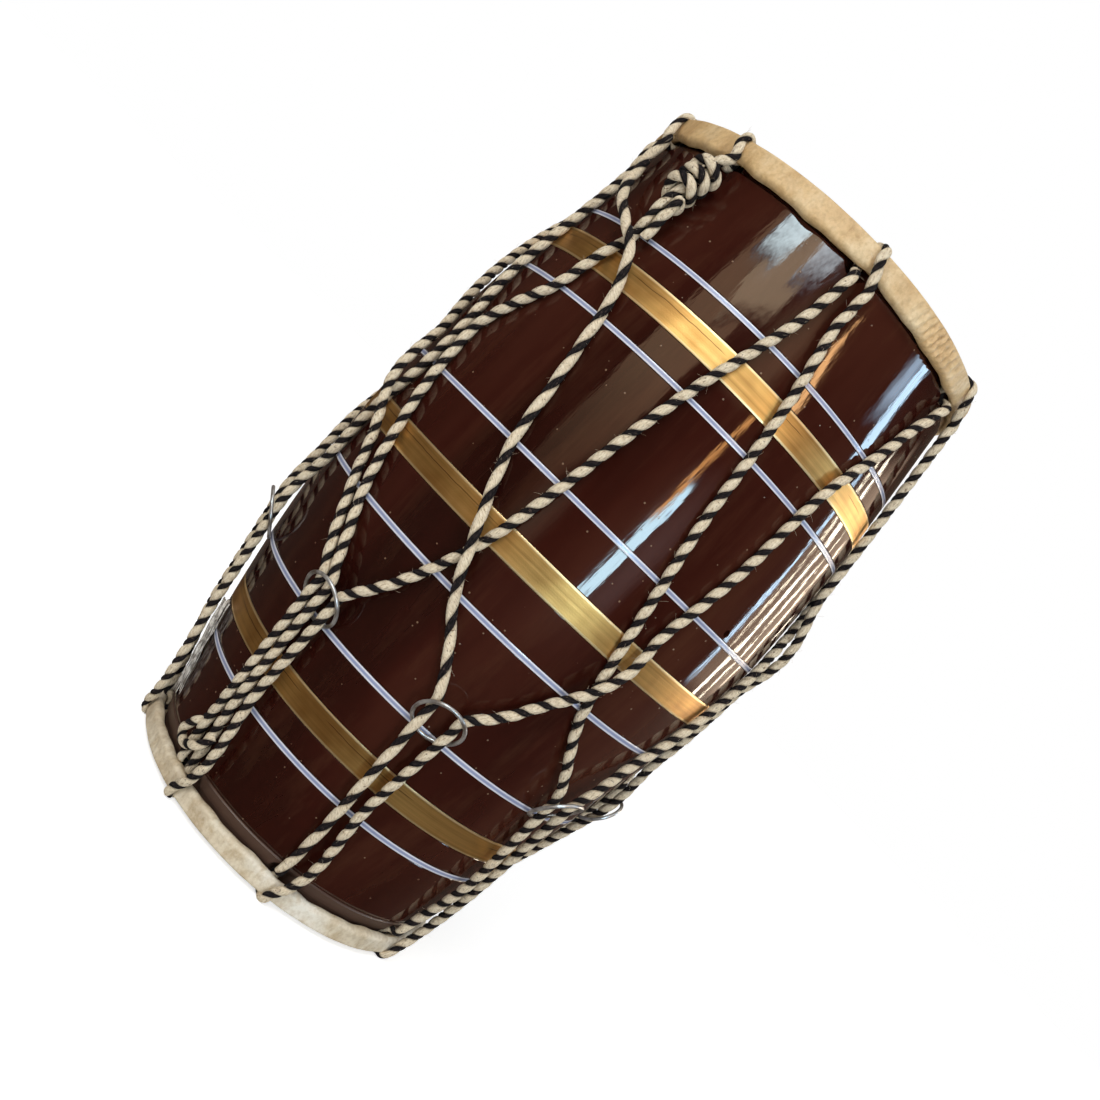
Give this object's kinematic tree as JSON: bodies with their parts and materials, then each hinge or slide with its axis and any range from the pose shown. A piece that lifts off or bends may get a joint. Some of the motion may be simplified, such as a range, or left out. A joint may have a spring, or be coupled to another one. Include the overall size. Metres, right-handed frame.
{
  "type": "dholak",
  "caption": "Barrel drum played by hand at both ends, with rope laced between hooped skins, sliding wire tuning rings, gilt bands and white strips on a dark lacquered shell.",
  "frame": {"origin": "on the drum's axis, in the plane that the treble head's rope loops stand on", "axes": "+Z along the drum's axis from the treble head to the bass head; -Y towards the side that faces the viewer; +X to that viewer's right"},
  "size_m": [0.2918, 0.295, 0.4665],
  "materials": {
    "lacquered_wood": "gloss",
    "gilt_band": "satin",
    "white_strip": "gloss",
    "hoop": "matte",
    "treble_skin": "matte",
    "bass_skin": "matte",
    "tuning_paste": "matte",
    "rope": "matte",
    "ring_wire": "satin"
  },
  "bodies": {
    "drum": {"shell": "lacquered_wood", "gold_band_treble": "gilt_band", "gold_band_belly": "gilt_band", "gold_band_bass": "gilt_band", "white_strip_1": "white_strip", "white_strip_2": "white_strip", "white_strip_3": "white_strip", "white_strip_4": "white_strip", "white_strip_5": "white_strip", "white_strip_6": "white_strip", "treble_hoop": "hoop", "bass_hoop": "hoop", "treble_skin": "treble_skin", "bass_skin": "bass_skin", "bass_tuning_paste": "tuning_paste", "lacing_rope": "rope"},
    "ring_1": {"tuning_ring_1": "ring_wire"},
    "ring_2": {"tuning_ring_2": "ring_wire"},
    "ring_3": {"tuning_ring_3": "ring_wire"},
    "ring_4": {"tuning_ring_4": "ring_wire"},
    "ring_5": {"tuning_ring_5": "ring_wire"},
    "ring_6": {"tuning_ring_6": "ring_wire"},
    "ring_7": {"tuning_ring_7": "ring_wire"}
  },
  "joints": [
    {"name": "ring_1_slide", "type": "slide", "parent": "drum", "child": "ring_1", "axis": [0.1621, 0.099, -0.9818], "range_m": [0, 0.04]},
    {"name": "ring_2_slide", "type": "slide", "parent": "drum", "child": "ring_2", "axis": [0.0756, 0.1715, -0.9823], "range_m": [0, 0.04]},
    {"name": "ring_3_slide", "type": "slide", "parent": "drum", "child": "ring_3", "axis": [0.0052, 0.1905, -0.9817], "range_m": [0, 0.04]},
    {"name": "ring_4_slide", "type": "slide", "parent": "drum", "child": "ring_4", "axis": [0.024, 0.319, -0.9474], "range_m": [0, 0.04]},
    {"name": "ring_5_slide", "type": "slide", "parent": "drum", "child": "ring_5", "axis": [-0.2007, 0.2333, -0.9515], "range_m": [0, 0.04]},
    {"name": "ring_6_slide", "type": "slide", "parent": "drum", "child": "ring_6", "axis": [-0.2248, -0.1093, -0.9683], "range_m": [0, 0.04]},
    {"name": "ring_7_slide", "type": "slide", "parent": "drum", "child": "ring_7", "axis": [0.0608, -0.2033, -0.9772], "range_m": [0, 0.04]}
  ]
}
